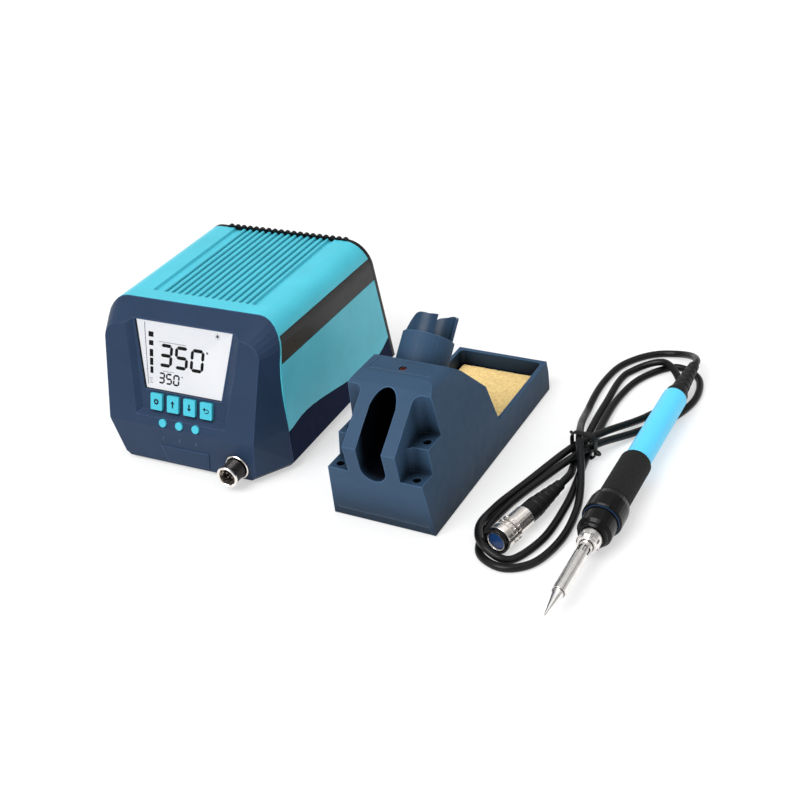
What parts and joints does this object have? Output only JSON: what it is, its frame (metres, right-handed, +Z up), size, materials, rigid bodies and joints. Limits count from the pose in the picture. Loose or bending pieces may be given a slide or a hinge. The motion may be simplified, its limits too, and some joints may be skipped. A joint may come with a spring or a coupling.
{
  "type": "soldering iron station",
  "caption": "Soldering iron station: control unit with display and keys, a separate holder stand with sponge tray, and a corded iron with a round screw plug.",
  "frame": {"origin": "on the bench, at the middle of the footprint of the control unit, stand and iron", "axes": "+Z up; +X to the right of the control unit seen from its front; the unit's front faces -Y"},
  "size_m": [0.3468, 0.2943, 0.1043],
  "materials": {
    "display_glass": "clear window",
    "display_white": "backlit segment display",
    "key_teal": "moulded plastic",
    "board_green": "circuit board",
    "black_plastic": "moulded plastic",
    "teal_cover": "smooth moulded plastic, half gloss",
    "dark_strip": "smooth dark plastic",
    "deep_navy_base": "fine-grained moulded plastic",
    "black_rubber": "smooth rubber",
    "navy_moulding": "fine-grained moulded plastic",
    "nickel": "nickel plate",
    "core_steel": "stacked sheet steel",
    "copper_wire": "varnished winding",
    "slate_moulding": "fine-grained moulded plastic",
    "yellow_sponge": "damp cellulose sponge",
    "bright_steel": "turned steel",
    "heater_ceramic": "fired ceramic",
    "grip_foam": "open foam",
    "sky_handle": "smooth moulded plastic",
    "blue_insert": "moulded plastic"
  },
  "bodies": {
    "control_unit": {"top_cover": "teal_cover", "side_strip_right": "dark_strip", "side_strip_left": "dark_strip", "base_tray": "deep_navy_base", "foot_1": "black_rubber", "foot_2": "black_rubber", "foot_3": "black_rubber", "foot_4": "black_rubber", "front_moulding": "navy_moulding", "display_window": "display_glass", "display_module": "display_white", "control_board": "board_green", "socket_shell": "nickel", "socket_insert": "black_plastic", "socket_nut": "nickel", "rear_panel": "black_plastic", "power_inlet": "black_plastic", "rocker_frame": "black_plastic", "transformer_core": "core_steel", "transformer_coil": "copper_wire", "supply_board": "board_green"},
    "key_settings": {"key_settings": "key_teal"},
    "key_up": {"key_up": "key_teal"},
    "key_down": {"key_down": "key_teal"},
    "key_enter": {"key_enter": "key_teal"},
    "preset_key_1": {"preset_key_1": "key_teal"},
    "preset_key_2": {"preset_key_2": "key_teal"},
    "preset_key_3": {"preset_key_3": "key_teal"},
    "rocker": {"rocker": "black_plastic"},
    "fuse_drawer": {"fuse_drawer": "black_plastic"},
    "stand": {"stand_body": "slate_moulding", "deck_plate": "slate_moulding", "holder_sleeve": "black_plastic", "stand_pad_1": "black_rubber", "stand_pad_2": "black_rubber", "stand_pad_3": "black_rubber", "stand_pad_4": "black_rubber"},
    "sponge": {"sponge": "yellow_sponge"},
    "iron": {"handle": "sky_handle", "foam_grip": "grip_foam", "iron_nose": "black_plastic", "heater": "heater_ceramic", "cord_boot": "black_rubber", "cord": "black_rubber", "cord_tie": "black_plastic", "plug_boot": "black_rubber", "plug_shell": "nickel", "plug_insert": "blue_insert"},
    "tip_set": {"iron_barrel": "bright_steel", "iron_tip": "bright_steel"},
    "iron_nut": {"iron_nut": "bright_steel"},
    "plug_ring": {"plug_ring": "nickel"}
  },
  "joints": [
    {"name": "key_settings_press", "type": "slide", "parent": "control_unit", "child": "key_settings", "axis": [0, 0.9516, -0.3074], "range_m": [0, 0.001], "stiffness_N_per_m": 400, "springref_m": -0.0005},
    {"name": "key_up_press", "type": "slide", "parent": "control_unit", "child": "key_up", "axis": [0, 0.9516, -0.3074], "range_m": [0, 0.001], "stiffness_N_per_m": 400, "springref_m": -0.0005},
    {"name": "key_down_press", "type": "slide", "parent": "control_unit", "child": "key_down", "axis": [0, 0.9516, -0.3074], "range_m": [0, 0.001], "stiffness_N_per_m": 400, "springref_m": -0.0005},
    {"name": "key_enter_press", "type": "slide", "parent": "control_unit", "child": "key_enter", "axis": [0, 0.9516, -0.3074], "range_m": [0, 0.001], "stiffness_N_per_m": 400, "springref_m": -0.0005},
    {"name": "preset_key_1_press", "type": "slide", "parent": "control_unit", "child": "preset_key_1", "axis": [0, 0.9516, -0.3074], "range_m": [0, 0.001], "stiffness_N_per_m": 400, "springref_m": -0.0005},
    {"name": "preset_key_2_press", "type": "slide", "parent": "control_unit", "child": "preset_key_2", "axis": [0, 0.9516, -0.3074], "range_m": [0, 0.001], "stiffness_N_per_m": 400, "springref_m": -0.0005},
    {"name": "preset_key_3_press", "type": "slide", "parent": "control_unit", "child": "preset_key_3", "axis": [0, 0.9516, -0.3074], "range_m": [0, 0.001], "stiffness_N_per_m": 400, "springref_m": -0.0005},
    {"name": "rocker_tilt", "type": "hinge", "parent": "control_unit", "child": "rocker", "pos_m": [-0.08296, 0.09501, 0.0334], "axis": [-1, 0, 0], "range_deg": [0, 18]},
    {"name": "fuse_drawer_slide", "type": "slide", "parent": "control_unit", "child": "fuse_drawer", "axis": [0, 0.9811, 0.1933], "range_m": [0, 0.012]},
    {"name": "stand_lift", "type": "slide", "parent": "control_unit", "child": "stand", "axis": [0, 0, 1], "range_m": [0, 0.15]},
    {"name": "sponge_lift", "type": "slide", "parent": "stand", "child": "sponge", "axis": [0, 0, 1], "range_m": [0, 0.06]},
    {"name": "iron_lift", "type": "slide", "parent": "control_unit", "child": "iron", "axis": [0, 0, 1], "range_m": [0, 0.15]},
    {"name": "tip_set_pull", "type": "slide", "parent": "iron", "child": "tip_set", "axis": [-0.0166, -0.9999, 0], "range_m": [0, 0.05]},
    {"name": "iron_nut_spin", "type": "hinge", "parent": "tip_set", "child": "iron_nut", "pos_m": [0.16053, -0.06652, 0.0131], "axis": [0.0166, 0.9999, 0], "continuous": true},
    {"name": "plug_ring_spin", "type": "hinge", "parent": "iron", "child": "plug_ring", "pos_m": [0.1116, -0.07073, 0.0082], "axis": [0.2317, 0.9728, 0], "continuous": true}
  ]
}
